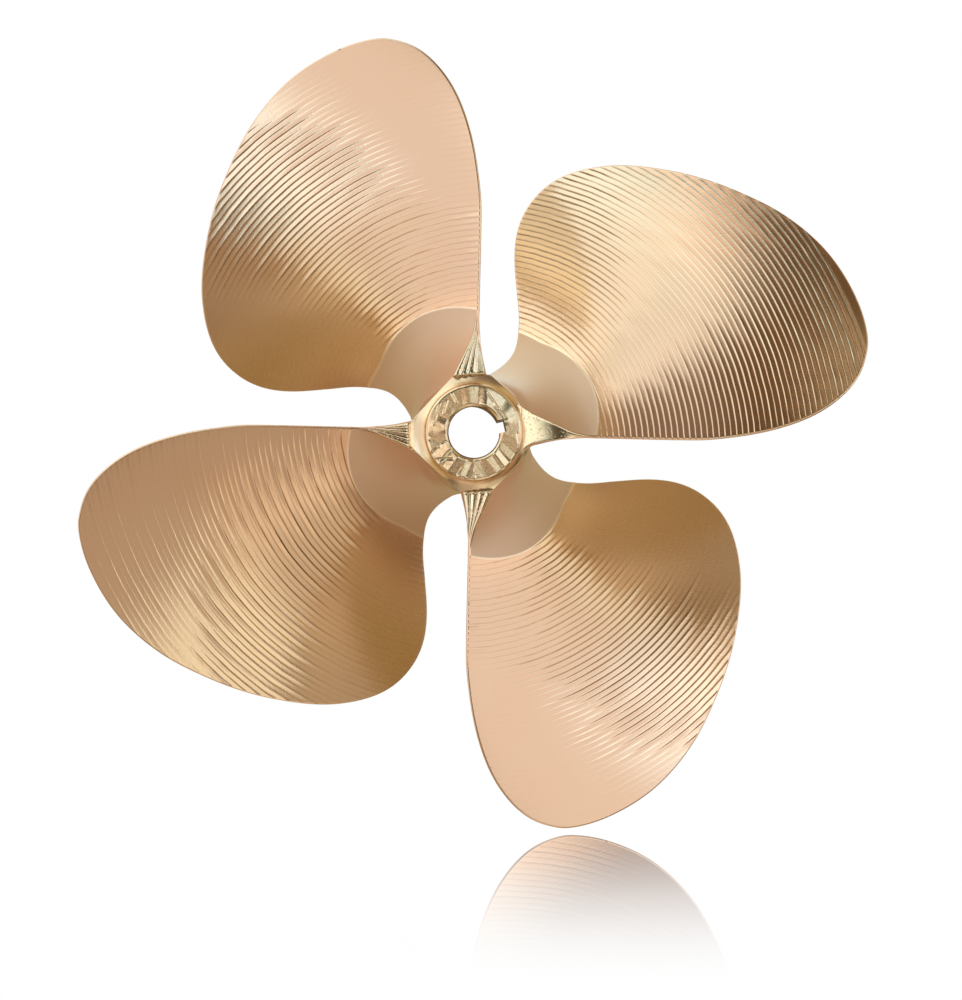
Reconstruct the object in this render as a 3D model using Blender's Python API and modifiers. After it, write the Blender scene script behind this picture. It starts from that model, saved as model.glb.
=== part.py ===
"""A left-hand four-bladed ship propeller, cast in one piece of bronze and turned at the hub.

Metres, +Z up. The shaft axis lies along Y. The aft end of the hub, with the nut seat, faces -Y,
and the larger forward end faces +Y with its centre at the origin.
"""

import math

import bmesh
import bpy

# Driving dimensions of the whole wheel.
DIAMETER = 0.8128
PITCH = 0.787
BLADES = 4
TIP_RADIUS = DIAMETER / 2

# Hub, measured along the shaft from the forward face.
HUB_LENGTH = 0.1905
HUB_FORWARD_RADIUS = 0.0620
HUB_MIDDLE_RADIUS = 0.0585
HUB_AFT_RADIUS = 0.0520
HUB_EDGE_CHAMFER = 0.0020
SHOULDER_LENGTH = 0.0130
SHOULDER_DROP = 0.0100
END_RING_RADIUS = 0.0470
END_RING_HEIGHT = 0.0055
NUT_SEAT_RADIUS = 0.0455
HUB_SEGMENTS = 96

# Tapered bore, one in sixteen on the diameter, with its keyway.
BORE_AFT_RADIUS = 0.0245
BORE_TAPER = 1 / 16
BORE_FORWARD_RADIUS = BORE_AFT_RADIUS + HUB_LENGTH * BORE_TAPER / 2
BORE_MOUTH = 0.0045
KEY_WIDTH = 0.0127
KEY_DEPTH = 0.0064
KEY_ANGLE = math.radians(-77)

# Blades. Angles are turned about the shaft from the first blade's trailing edge.
FIRST_BLADE_ANGLE = math.radians(-1.85)
TRAILING_EDGE_Y = -0.1775
BURIED_RADIUS = 0.0460
FORWARD_LIMIT_Y = -0.0030
EDGE_THICKNESS = 0.0032
TIP_THICKNESS = 0.0045
AXIS_THICKNESS = 0.0360
SECTION_FULLNESS = 2.2

# Flare of the root into the hub, thinner towards the leading edge, and the fillet at its foot.
FLARE_TOP_RADIUS = 0.1150
FLARE_FOOT_RADIUS = 0.0560
PRESSURE_FLARE = 0.0214
SUCTION_FLARE = 0.0072
FLARE_POWER = 1.8
LEADING_FLARE_SHARE = 0.4
FOOT_FILLET = 0.0080

# The outline seen along the shaft, as radius in metres and angle in degrees.
TRAILING_OUTLINE = (
    (BURIED_RADIUS, 0.0), (0.2150, 0.1), (0.2540, 1.0), (0.2930, 2.5), (0.3330, 4.8),
    (0.3640, 7.6), (0.3840, 10.3), (0.3960, 13.0), (0.4030, 15.6), (TIP_RADIUS, 21.0),
)
LEADING_OUTLINE = (
    (BURIED_RADIUS, 74.0), (0.0620, 73.0), (0.0680, 70.6), (0.0760, 67.0), (0.0860, 64.9),
    (0.1000, 64.8), (0.1270, 68.7), (0.1600, 74.3), (0.1930, 78.0), (0.2250, 79.1),
    (0.2570, 77.5), (0.2880, 73.2), (0.3170, 65.4), (0.3440, 55.0), (0.3700, 44.4),
    (0.3880, 37.1), (0.3970, 32.5), (0.4030, 28.2), (TIP_RADIUS, 21.0),
)

# Fineness of the blade mesh: rows from root to tip, and points along each face.
FIRST_OPEN_RADIUS = 0.0505
ROOT_ROWS = 13
BLADE_ROWS = 18
FACE_POINTS = 14
LAST_TIP_DISTANCE = 0.02

BRONZE = (0.72, 0.50, 0.33, 1.0)


def clear_scene():
    for thing in list(bpy.data.objects):
        bpy.data.objects.remove(thing)


def new_collection(name):
    made = bpy.data.collections.new(name)
    bpy.context.scene.collection.children.link(made)
    return made


def bronze_material():
    material = bpy.data.materials.new("bronze")
    material.use_nodes = True
    shader = material.node_tree.nodes["Principled BSDF"]
    shader.inputs["Base Color"].default_value = BRONZE
    shader.inputs["Metallic"].default_value = 1.0
    shader.inputs["Roughness"].default_value = 0.32
    return material


def hub_flank():
    """Radius and distance aft of the forward face, from the shoulder down to the forward edge."""
    shoulder = HUB_LENGTH - SHOULDER_LENGTH
    return (
        (HUB_AFT_RADIUS, shoulder),
        (HUB_AFT_RADIUS + 0.0016, shoulder - 0.0200),
        (HUB_MIDDLE_RADIUS, HUB_LENGTH * 0.55),
        (HUB_FORWARD_RADIUS - 0.0008, HUB_LENGTH * 0.25),
        (HUB_FORWARD_RADIUS, HUB_EDGE_CHAMFER),
    )


def hub_radius(along):
    """Outer radius of the hub at this place along the shaft."""
    flank = hub_flank()
    aft = min(max(-along, flank[-1][1]), flank[0][1])
    i = next(k for k in range(len(flank) - 1) if aft >= flank[k + 1][1])
    (near, high), (far, low) = flank[i], flank[i + 1]
    return far + (near - far) * (aft - low) / (high - low)


def hub_profile():
    """Radius and distance aft of the forward face: down the outside, then up the bore."""
    ring_edge = END_RING_RADIUS - NUT_SEAT_RADIUS
    end = (
        (NUT_SEAT_RADIUS, HUB_LENGTH),
        (END_RING_RADIUS, HUB_LENGTH - ring_edge),
        (END_RING_RADIUS, HUB_LENGTH - END_RING_HEIGHT),
        (HUB_AFT_RADIUS, HUB_LENGTH - SHOULDER_DROP),
    )
    bore = (
        (HUB_FORWARD_RADIUS - HUB_EDGE_CHAMFER, 0.0),
        (BORE_FORWARD_RADIUS, 0.0),
        (BORE_AFT_RADIUS + BORE_MOUTH * BORE_TAPER / 2, HUB_LENGTH - BORE_MOUTH),
        (BORE_AFT_RADIUS + BORE_MOUTH, HUB_LENGTH),
    )
    return end + hub_flank() + bore


def add_hub(collection):
    """The turned hub: its profile swept round the shaft, then laid along Y."""
    corners = [(radius, 0.0, aft) for radius, aft in hub_profile()]
    count = len(corners)
    mesh = bpy.data.meshes.new("propeller")
    mesh.from_pydata(corners, [(i, (i + 1) % count) for i in range(count)], [])
    hub = bpy.data.objects.new("propeller", mesh)
    hub.rotation_euler.x = math.pi / 2
    collection.objects.link(hub)
    screw = hub.modifiers.new("turned", "SCREW")
    screw.steps = screw.render_steps = HUB_SEGMENTS
    screw.use_merge_vertices = True
    screw.merge_threshold = 0.0001
    screw.use_smooth_shade = True
    return hub


def tip_distance(radius):
    """Zero at the tip. The outline's angles are smooth in this measure, also where it turns round."""
    return math.sqrt(max(0.0, 1 - radius / TIP_RADIUS))


def smooth_curve(points):
    """A function of the radius that runs smoothly through the outline's points."""
    knots = [tip_distance(radius) for radius, _ in points]
    values = [math.radians(angle) for _, angle in points]
    last = len(points) - 1

    def slope(i):
        before, after = max(i - 1, 0), min(i + 1, last)
        return (values[after] - values[before]) / (knots[after] - knots[before])

    def value(radius):
        at = min(max(tip_distance(radius), knots[last]), knots[0])
        i = next(k for k in range(last) if at >= knots[k + 1])
        width = knots[i + 1] - knots[i]
        t = (at - knots[i]) / width
        rise = (1 + 2 * t) * (1 - t) ** 2 * values[i] + t * t * (3 - 2 * t) * values[i + 1]
        return rise + width * t * (1 - t) * ((1 - t) * slope(i) - t * slope(i + 1))

    return value


trailing_angle = smooth_curve(TRAILING_OUTLINE)
leading_angle = smooth_curve(LEADING_OUTLINE)


def pitch_slope(radius):
    """Angle of the pitch surface from the plane of the wheel."""
    return math.atan2(PITCH, 2 * math.pi * radius)


def place_along(angle):
    """Where the pitch surface is along the shaft at this angle."""
    return TRAILING_EDGE_Y + PITCH * angle / (2 * math.pi)


def foot_fillet(radius, along):
    """Extra thickness of a round fillet that stands on the hub."""
    gap = min(max(FOOT_FILLET - (radius - hub_radius(along)), 0.0), FOOT_FILLET)
    return FOOT_FILLET - math.sqrt(FOOT_FILLET ** 2 - gap ** 2)


def spread(radius, angle, share, size):
    """Extra thickness where a face of the blade runs out into the hub."""
    if radius <= BURIED_RADIUS:
        return 0.0
    height = (FLARE_TOP_RADIUS - radius) / (FLARE_TOP_RADIUS - FLARE_FOOT_RADIUS)
    flare = size * min(max(height, 0.0), 1.0) ** FLARE_POWER
    flare *= 1 + (LEADING_FLARE_SHARE - 1) * share
    return flare + foot_fillet(radius, place_along(angle))


def thickness(radius, share):
    """Thickness at this share of the way from the trailing to the leading edge."""
    most = AXIS_THICKNESS + (TIP_THICKNESS - AXIS_THICKNESS) * radius / TIP_RADIUS
    bulge = 1 - abs(2 * share - 1) ** SECTION_FULLNESS
    return EDGE_THICKNESS + (most - EDGE_THICKNESS) * bulge


def face_point(radius, angle, offset):
    """A point of the blade at this angle, moved forward off the pitch surface by the offset."""
    slope = pitch_slope(radius)
    turned = angle - offset * math.sin(slope) / radius
    along = place_along(angle) + offset * math.cos(slope)
    return -radius * math.sin(turned), min(along, FORWARD_LIMIT_Y), radius * math.cos(turned)


def face_row(radius, size, side):
    """Points along one face from the trailing to the leading edge. Side is -1 for the pressure face.

    The face starts where its spread meets the plane of the trailing edge, which cuts the flare flat.
    """
    slope = pitch_slope(radius)
    start, end = trailing_angle(radius), leading_angle(radius)
    start -= side * 2 * math.pi / PITCH * math.cos(slope) * spread(radius, start, 0.0, size)
    end += math.cos(slope) * foot_fillet(radius, place_along(end)) / radius
    row = []
    for i in range(FACE_POINTS):
        share = (1 - math.cos(math.pi * i / (FACE_POINTS - 1))) / 2
        angle = start + (end - start) * share
        offset = side * spread(radius, angle, share, size)
        if side > 0:
            offset += thickness(radius, share)
        row.append(face_point(radius, angle, offset))
    return row


def blade_row(radius):
    """One closed section: the pressure face to the leading edge, then the suction face back."""
    suction = face_row(radius, SUCTION_FLARE, 1)
    return face_row(radius, PRESSURE_FLARE, -1) + suction[::-1]


def row_radii():
    """Radii of the rows, even along the flare and closer and closer towards the round tip."""
    step = (FLARE_TOP_RADIUS - FIRST_OPEN_RADIUS) / ROOT_ROWS
    radii = [BURIED_RADIUS] + [FIRST_OPEN_RADIUS + step * i for i in range(ROOT_ROWS)]
    widest = tip_distance(FLARE_TOP_RADIUS)
    for i in range(BLADE_ROWS):
        distance = widest + (LAST_TIP_DISTANCE - widest) * i / (BLADE_ROWS - 1)
        radii.append(TIP_RADIUS * (1 - distance * distance))
    return radii


def blade_mesh():
    """A loft through the sections, with a cap of strips at the root and another at the tip."""
    shape = bmesh.new()
    rows = [[shape.verts.new(point) for point in blade_row(radius)] for radius in row_radii()]
    count = len(rows[0])
    for inner, outer in zip(rows, rows[1:]):
        for i in range(count):
            j = (i + 1) % count
            shape.faces.new((inner[i], inner[j], outer[j], outer[i]))
    for ring in (rows[0], rows[-1]):
        for i in range(FACE_POINTS - 1):
            shape.faces.new((ring[i], ring[i + 1], ring[count - 2 - i], ring[count - 1 - i]))
    bmesh.ops.recalc_face_normals(shape, faces=shape.faces)
    mesh = bpy.data.meshes.new("blade")
    shape.to_mesh(mesh)
    shape.free()
    return mesh


def hide_helper(helper, collection):
    for owner in list(helper.users_collection):
        owner.objects.unlink(helper)
    collection.objects.link(helper)
    helper.hide_render = True
    helper.display_type = "WIRE"


def add_blades(collection):
    """The four blades, each a copy turned about the shaft."""
    mesh = blade_mesh()
    blades = []
    for i in range(BLADES):
        blade = bpy.data.objects.new(f"blade_{i + 1}", mesh)
        blade.rotation_euler.y = -(FIRST_BLADE_ANGLE + 2 * math.pi * i / BLADES)
        hide_helper(blade, collection)
        blades.append(blade)
    return blades


def add_keyway(collection):
    """A bar that follows the slope of the bore and stands into its wall by the keyway's depth."""
    length, height = HUB_LENGTH * 1.2, KEY_DEPTH * 2.5
    middle = (BORE_AFT_RADIUS + BORE_FORWARD_RADIUS) / 2 + KEY_DEPTH - height / 2
    carrier = bpy.data.objects.new("keyway_direction", None)
    carrier.rotation_euler.y = -KEY_ANGLE
    hide_helper(carrier, collection)
    bpy.ops.mesh.primitive_cube_add(size=1)
    bar = bpy.context.object
    bar.name = "keyway"
    bar.scale = (KEY_WIDTH, length, height)
    bpy.ops.object.transform_apply(location=False, rotation=False, scale=True)
    hide_helper(bar, collection)
    bar.parent = carrier
    bar.location = (0.0, -HUB_LENGTH / 2, middle)
    bar.rotation_euler.x = math.atan(BORE_TAPER / 2)
    return bar


def join_and_cut(hub, blades, keyway):
    for blade in blades:
        union = hub.modifiers.new(blade.name, "BOOLEAN")
        union.operation = "UNION"
        union.object = blade
    cut = hub.modifiers.new("keyway", "BOOLEAN")
    cut.operation = "DIFFERENCE"
    cut.object = keyway


def main():
    clear_scene()
    parts = new_collection("ship propeller")
    helpers = new_collection("shapes joined or cut")
    hub = add_hub(parts)
    hub.data.materials.append(bronze_material())
    join_and_cut(hub, add_blades(helpers), add_keyway(helpers))


main()
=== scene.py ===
"""Looks of a left-hand four-bladed bronze ship propeller: milled blades, turned hub, studio floor.

Metres, +Z up. The shaft axis lies along Y, and the aft end of the hub faces -Y, towards the camera.
"""

import math

import bpy
import numpy as np
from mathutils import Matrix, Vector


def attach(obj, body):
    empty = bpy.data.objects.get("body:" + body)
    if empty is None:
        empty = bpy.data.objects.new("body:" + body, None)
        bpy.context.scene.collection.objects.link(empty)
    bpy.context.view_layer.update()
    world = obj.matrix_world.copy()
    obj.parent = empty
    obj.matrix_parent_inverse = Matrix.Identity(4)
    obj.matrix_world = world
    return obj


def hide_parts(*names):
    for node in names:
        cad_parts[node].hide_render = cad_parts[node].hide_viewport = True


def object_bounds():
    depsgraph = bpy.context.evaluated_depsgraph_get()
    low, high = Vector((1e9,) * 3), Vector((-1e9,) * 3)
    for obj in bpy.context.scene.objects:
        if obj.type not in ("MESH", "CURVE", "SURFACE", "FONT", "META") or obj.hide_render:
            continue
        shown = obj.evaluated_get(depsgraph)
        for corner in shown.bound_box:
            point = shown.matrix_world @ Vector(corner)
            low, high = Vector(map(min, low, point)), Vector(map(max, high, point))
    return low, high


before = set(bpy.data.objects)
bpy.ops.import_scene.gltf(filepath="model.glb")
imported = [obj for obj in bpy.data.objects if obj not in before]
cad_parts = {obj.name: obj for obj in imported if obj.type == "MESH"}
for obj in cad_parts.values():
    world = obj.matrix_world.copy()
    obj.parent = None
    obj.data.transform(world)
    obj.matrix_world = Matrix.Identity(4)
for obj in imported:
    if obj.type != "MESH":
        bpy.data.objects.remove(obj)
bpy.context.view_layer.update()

# Driving dimensions of the wheel.
TIP_RADIUS = 0.4064
PITCH = 0.787
BLADES = 4
FIRST_BLADE_ANGLE = math.radians(-1.85)
TRAILING_EDGE_Y = -0.1775
FORWARD_LIMIT_Y = -0.0030

# Blade section.
EDGE_THICKNESS = 0.0032
TIP_THICKNESS = 0.0045
AXIS_THICKNESS = 0.0360
SECTION_FULLNESS = 2.2
EDGE_ROUND = EDGE_THICKNESS / 2

# Flare of the root into the hub and the fillet at its foot.
BURIED_RADIUS = 0.0460
FLARE_TOP_RADIUS = 0.1150
FLARE_FOOT_RADIUS = 0.0560
PRESSURE_FLARE = 0.0214
SUCTION_FLARE = 0.0072
FLARE_POWER = 1.8
LEADING_FLARE_SHARE = 0.4
FOOT_FILLET = 0.0080

# How the strip round a blade's edge changes between two widths of it: its points turn from close at
# both sides to even, its round turns into a flat with round corners, and it faces along the shaft.
EVEN_WIDTHS = (0.003, 0.010)
FLAT_WIDTHS = (0.004, 0.020)
SHAFT_WIDTHS = (0.006, 0.016)

# The outline seen along the shaft, as radius in metres and angle in degrees.
TRAILING_OUTLINE = (
    (BURIED_RADIUS, 0.0), (0.2150, 0.1), (0.2540, 1.0), (0.2930, 2.5), (0.3330, 4.8),
    (0.3640, 7.6), (0.3840, 10.3), (0.3960, 13.0), (0.4030, 15.6), (TIP_RADIUS, 21.0),
)
LEADING_OUTLINE = (
    (BURIED_RADIUS, 74.0), (0.0620, 73.0), (0.0680, 70.6), (0.0760, 67.0), (0.0860, 64.9),
    (0.1000, 64.8), (0.1270, 68.7), (0.1600, 74.3), (0.1930, 78.0), (0.2250, 79.1),
    (0.2570, 77.5), (0.2880, 73.2), (0.3170, 65.4), (0.3440, 55.0), (0.3700, 44.4),
    (0.3880, 37.1), (0.3970, 32.5), (0.4030, 28.2), (TIP_RADIUS, 21.0),
)

# The outlines are followed in so many points, from a little under the buried radius to the tip.
OUTLINE_MARGIN = 0.004
OUTLINE_POINTS = 1500

# Hub, measured along the shaft from the forward face.
HUB_LENGTH = 0.1905
HUB_FORWARD_RADIUS = 0.0620
HUB_MIDDLE_RADIUS = 0.0585
HUB_AFT_RADIUS = 0.0520
HUB_EDGE_ROUND = 0.0020
SHOULDER_LENGTH = 0.0130
END_RING_RADIUS = 0.0470
END_RING_HEIGHT = 0.0043
NUT_SEAT_RADIUS = 0.0440
BORE_AFT_RADIUS = 0.0245
BORE_TAPER = 1 / 16
BORE_MOUTH = 0.0024
KEY_WIDTH = 0.0127
KEY_DEPTH = 0.0064
KEY_ANGLE = math.radians(-77)
TURNING_STEPS = 360
SHARP_ANGLE = math.radians(38)
WELD_DISTANCE = 0.00001

# How many points draw each stretch of the hub's profile.
SEAT_POINTS = 28
ROUND_POINTS = 7
SHOULDER_POINTS = 15
FLANK_POINTS = 50
BORE_POINTS = 40

# The turned shoulder: a cove round the end ring, on a hub that is square there between the blades and
# turned to an arc of its own radius at each blade.
SHOULDER_FOOT_RADIUS = 0.0473
SHOULDER_END_RADIUS = 0.0640
SHOULDER_DEPTH = 0.0085
SQUARE_HALF_WIDTH = 0.0522
SQUARE_ANGLE = math.radians(47)
SQUARE_LENGTH = 0.0405
SHOULDER_ARCS = (0.0580, 0.0640, 0.0590, 0.0522)
SHOULDER_EDGE_ROUND = 0.0008
COVE_POWER = 2.4

# The fans, where the trailing edges run out onto the hub's aft end.
FAN_END_RADIUS = 0.1180
FAN_LEAN = 0.0036
LEAN_TOP_RADIUS = 0.1120
LEAN_RUN = 0.0540
FLUTE_FADE_RADII = (0.080, 0.112)
TURNED_BORDER = (-0.0004, 0.0005)
TURNED_SINK = 0.0004
UNTURNED_POWER = 1.6

# How near to the bore's mouth and how deep down the end ring was dressed by hand.
DRESSED_FROM = (-0.0010, 0.0020)
DRESSED_DEPTHS = (0.0008, 0.0036)

# Facets left by hand dressing on the end ring, anticlockwise from half past two: the angle from the
# top where each one ends, how far it leans to the right and how far up, and how wide its border to
# the next one is, all in degrees. The upper half was smoothed over. Away from the ring's middle the
# borders bend to and fro, by so many degrees per metre and so many times round the ring.
RING_MIDDLE_RADIUS = 0.0375
FACET_BEND = 450
FACET_BENDS = 2.5
FIRST_FACET = -75
RING_FACETS = (
    (-52, 4, 3, 14), (-14, 7, 4, 16), (12, 3, 1, 16), (44, 0, 0, 18), (70, -2, 0, 14),
    (92, -4, 0, 12), (112, 0, 0, 3), (128, -5, -1, 2), (134, 2, 2, 2), (147, -5, 1, 2),
    (161, 1, -3, 4), (173, 4, 0, 2), (179, 0, 3, 2), (196, 3, -1, 2), (206, 0, -2, 5), (218, 3, 1, 2),
    (222, -1, -2, 2), (233, 6, 2, 3), (246, 2, 1, 2), (262, 0, -1, 6), (285, 1, 1, 12),
)

# Scars on the end ring: angle and radius of one end, then of the other, half width and height.
RING_SCARS = (
    (30, 0.0430, 30, 0.0335, 0.0009, 0.00030),
    (41, 0.0400, 58, 0.0345, 0.0009, 0.00025),
    (50, 0.0430, 79, 0.0400, 0.0010, 0.00030),
    (98, 0.0445, 112, 0.0360, 0.0012, -0.00025),
    (-38, 0.0325, -66, 0.0330, 0.0015, -0.00035),
    (-20, 0.0400, -46, 0.0330, 0.0008, -0.00030),
    (126, 0.0440, 141, 0.0330, 0.0008, -0.00040),
    (268, 0.0420, 258, 0.0440, 0.0008, -0.00030),
)

# Milling of the blade faces: concentric cuts with a crest between each two. The fall, and the place and
# width of the painted shade in each groove, are shares of a cut. There are some crests to spare, for the
# rim.
FIRST_CREST_RADIUS = 0.1190
CUT_WIDTH = 0.00575
CUTS = 48
CRESTS = CUTS + 8
CREST_HEIGHT = 0.00026
CUT_FALL = 0.72
GROOVE_SHADE_PLACE = 0.03
GROOVE_SHADE_WIDTH = 0.07

# How uneven the cuts are: how far they wander, as a share of a cut, how the crests' heights differ and
# ripple, by how many degrees the places where they fade out differ, and how far in from the tip they
# end. Waves along a cut are measured as on a middle radius, and they differ from crest to crest.
CUT_WANDER = 0.040
CREST_SPREAD = (0.8, 1.2)
CREST_RIPPLE = 0.22
FADE_SHIFT = 2.0
RIM_FADE = (0.0130, 0.0080)
WAVE_RADIUS = 0.2
WAVE_STEP = 0.37

# The border of the hand-finished root, an arch over the first degrees of the blade, and the lip there.
ROOT_BORDER_RADIUS = 0.1195
ROOT_BORDER_RISE = 0.0095
ROOT_BORDER_DEGREES = 55
ROOT_BORDER_SOFTNESS = 0.0006
MILLING_RUN_IN = (-0.0005, 0.0025)
LIP_HEIGHT = 0.00040
LIP_INNER_RUN = 0.0030
LIP_WIDTH = 0.0009

# How the cuts differ from blade to blade, each as a share of the full height: the stronger and the
# weaker crests, which take turns, the cuts in the plain area at the tip, and those in the broad lobe
# at the leading edge. There is one number to a blade, from the first to the fourth.
STRONG_CREST_SHARES = (1.00, 1.35, 1.00, 1.00)
WEAK_CREST_SHARES = (0.70, 0.60, 0.75, 0.92)
PLAIN_SHARES = (0.10, 0.20, 0.10, 1.00)
LOBE_SHARES = (0.08, 0.16, 0.08, 1.00)

# The lobe: where its border starts, in degrees, how far it moves and softens per metre further out,
# how satin the lobe is, and how strong the painted shade in its grooves is next to that elsewhere on the
# blade.
LOBE_FOOT_RADIUS = 0.115
LOBE_DEGREES = 40
LOBE_DRIFT = 55
LOBE_SOFTNESS = 3
LOBE_SOFTENING = 60
LOBE_SATIN = 0.5
LOBE_GROOVE_SHADES = (1.0, 1.0, 1.0, 2.8)

# Border of the plain area at the tip, as radius in metres and angle in degrees. On the second blade
# it reaches further in. The cuts rise from so many degrees before the border to so many past it.
TIP_BORDER = (
    (0.1000, -12), (0.2140, 2), (0.2300, 13), (0.2610, 20), (0.2990, 25), (0.3410, 28), (0.3700, 35),
    (TIP_RADIUS, 50),
)
WIDE_BORDER = (
    (0.1200, 2), (0.1450, 6), (0.2090, 12), (0.2500, 18), (0.2970, 27), (0.3400, 38), (0.3700, 50),
    (TIP_RADIUS, 60),
)
PLAIN_BORDERS = (TIP_BORDER, WIDE_BORDER, TIP_BORDER, TIP_BORDER)
PLAIN_FADE = (-8, 4)

# What each point of a blade carries for its colour and finish: the painted shade of a groove, how satin it
# is, whether it is on the back, and how near it is to the lip where the milling begins, for a painted
# highlight.
FINISH_AND_PAINTED_LIGHT = ("painted_groove_shade", "satin", "back", "lip")

# Rows of the blade's sheet: on the fillet, on the flare, at these shares of each cut, and at the tip.
FILLET_TOP_RADIUS = 0.0700
FILLET_ROWS = 36
FLARE_ROWS = 38
CUT_ROWS = (0.0, 0.08, 0.22, 0.38, 0.54, 0.66, 0.72, 0.78, 0.83, 0.88, 0.93, 0.97)
TIP_ROWS = 18

# Columns of the blade's sheet, once round the section.
PRESSURE_COLUMNS = 54
SUCTION_COLUMNS = 28
LEADING_COLUMNS = 15
TRAILING_COLUMNS = 33

# Studio.
CAMERA_PLACE = (-0.032, -1.8775, -0.030)
LENS_MM = 63.0
SENSOR_MM = 36.0
HUB_IN_PHOTO = (474.0, 432.3)
PHOTO_SIZE = (962, 1000)
FLOOR_SIZE = 60
FLOOR_GAP = 0.0035
FLOOR_TINT = (1.0, 0.89, 0.78)

# Where the floor is polished, seen from above: its middle, how far out it fades away, and where it
# starts on the left, over how wide a border. Only the lowest blade shows in it.
POLISH = 0.78
POLISH_MIDDLE = (0.10, -0.13)
POLISH_RADIUS = 0.53
POLISH_START = -0.07
POLISH_BORDER = 0.06


def tip_distance(radius):
    """Zero at the tip. The outline's angles are smooth in this measure, also where it turns round."""
    return np.sqrt(np.clip(1 - np.asarray(radius) / TIP_RADIUS, 0, None))


def smooth_curve(points):
    """A function of the radius that runs smoothly through the outline's points."""
    knots = tip_distance([radius for radius, _ in points])[::-1]
    values = np.radians([angle for _, angle in points])[::-1]
    before = np.maximum(np.arange(len(knots)) - 1, 0)
    after = np.minimum(np.arange(len(knots)) + 1, len(knots) - 1)
    slopes = (values[after] - values[before]) / (knots[after] - knots[before])

    def value(radius):
        at = np.clip(tip_distance(radius), knots[0], knots[-1])
        i = np.clip(np.searchsorted(knots, at, side="right") - 1, 0, len(knots) - 2)
        width = knots[i + 1] - knots[i]
        t = (at - knots[i]) / width
        rise = (1 + 2 * t) * (1 - t) ** 2 * values[i] + t * t * (3 - 2 * t) * values[i + 1]
        return rise + width * t * (1 - t) * ((1 - t) * slopes[i] - t * slopes[i + 1])

    return value


def pitch_slope(radius):
    """Angle of the pitch surface from the plane of the wheel."""
    return np.arctan2(PITCH, 2 * math.pi * radius)


def place_along(angle):
    """Where the pitch surface is along the shaft at this angle."""
    return TRAILING_EDGE_Y + PITCH * angle / (2 * math.pi)


def ease(value, low, high):
    """A soft step from 0 at low to 1 at high."""
    t = np.clip((value - low) / (high - low), 0, 1)
    return t * t * (3 - 2 * t)


def hub_radius(along):
    """Outer radius of the hub at this place along the shaft."""
    shoulder = HUB_LENGTH - SHOULDER_LENGTH
    places = (HUB_EDGE_ROUND, HUB_LENGTH * 0.25, HUB_LENGTH * 0.55, shoulder - 0.02, shoulder)
    radii = (
        HUB_FORWARD_RADIUS, HUB_FORWARD_RADIUS - 0.0008, HUB_MIDDLE_RADIUS,
        HUB_AFT_RADIUS + 0.0016, HUB_AFT_RADIUS,
    )
    return np.interp(-along, places, radii)


def foot_fillet(radius, along):
    """Extra thickness of a round fillet that stands on the hub."""
    gap = np.clip(FOOT_FILLET - (radius - hub_radius(along)), 0, FOOT_FILLET)
    return FOOT_FILLET - np.sqrt(FOOT_FILLET ** 2 - gap ** 2)


def spread(radius, angle, share, size):
    """Extra thickness where a face of the blade runs out into the hub."""
    height = (FLARE_TOP_RADIUS - radius) / (FLARE_TOP_RADIUS - FLARE_FOOT_RADIUS)
    flare = size * np.clip(height, 0, 1) ** FLARE_POWER * (1 + (LEADING_FLARE_SHARE - 1) * share)
    return np.where(radius > BURIED_RADIUS, flare + foot_fillet(radius, place_along(angle)), 0)


def thickness(radius, share):
    """Thickness at this share of the way from the trailing to the leading edge."""
    most = AXIS_THICKNESS + (TIP_THICKNESS - AXIS_THICKNESS) * radius / TIP_RADIUS
    return EDGE_THICKNESS + (most - EDGE_THICKNESS) * (1 - np.abs(2 * share - 1) ** SECTION_FULLNESS)


def edge_curve(outline, outward):
    """Angle of the faces' edge, set in from the outline by the edge's round, and its outward direction.

    Outward is -1 at the trailing edge and 1 at the leading edge. The direction is given by its
    share along the radius, and the rest of it runs along the face.
    """
    distance = np.linspace(tip_distance(BURIED_RADIUS - OUTLINE_MARGIN), 0.0, OUTLINE_POINTS)
    radii = TIP_RADIUS * (1 - distance ** 2)
    angles = smooth_curve(outline)(radii)
    turn = np.gradient(angles, distance) * radii / np.cos(pitch_slope(radii))
    rise = np.gradient(radii, distance)
    length = np.hypot(turn, rise)
    length[length == 0] = 1
    along_radius = -outward * turn / length * np.sign(rise + 1e-12)
    along_radius[-1] = 1.0
    along_face = np.sqrt(1 - np.clip(along_radius, -1, 1) ** 2)
    inset_radii = radii - EDGE_ROUND * along_radius
    inset = angles - outward * EDGE_ROUND * along_face * np.cos(pitch_slope(radii)) / radii
    order = np.argsort(inset_radii)

    def angle(radius):
        return np.interp(radius, inset_radii[order], inset[order])

    def rising(radius):
        return np.interp(radius, inset_radii[order], along_radius[order])

    return angle, rising


trailing_angle, trailing_rise = edge_curve(TRAILING_OUTLINE, -1)
leading_angle, leading_rise = edge_curve(LEADING_OUTLINE, 1)


def ripple(place, seed, waves, longest, shortest):
    """A smooth wave without a pattern, between about -1 and 1, of the given wavelengths."""
    chance = np.random.default_rng(seed)
    lengths = np.geomspace(longest, shortest, waves)
    total = np.zeros(np.shape(place))
    for length in lengths:
        total += np.sin(2 * math.pi * (place / length + chance.random()))
    return total / math.sqrt(waves)


def smooth_zone_edge(angle):
    """Radius at which the hand-finished root gives way to the milling."""
    share = np.clip(np.degrees(angle) / ROOT_BORDER_DEGREES, 0, 1)
    return ROOT_BORDER_RADIUS + ROOT_BORDER_RISE * np.sin(math.pi * share)


def cut_height(phase, start, end):
    """Height across one cut, from the crest nearer the hub to the next: a gentle fall, a steep rise."""
    fall = phase / CUT_FALL
    rise = (phase - CUT_FALL) / (1 - CUT_FALL)
    falling = start * (1 - 1.5 * fall + 0.5 * fall ** 2)
    rising = end * (rise - 0.5 * np.sin(2 * math.pi * rise) / (2 * math.pi))
    return np.where(phase < CUT_FALL, falling, rising)


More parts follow.
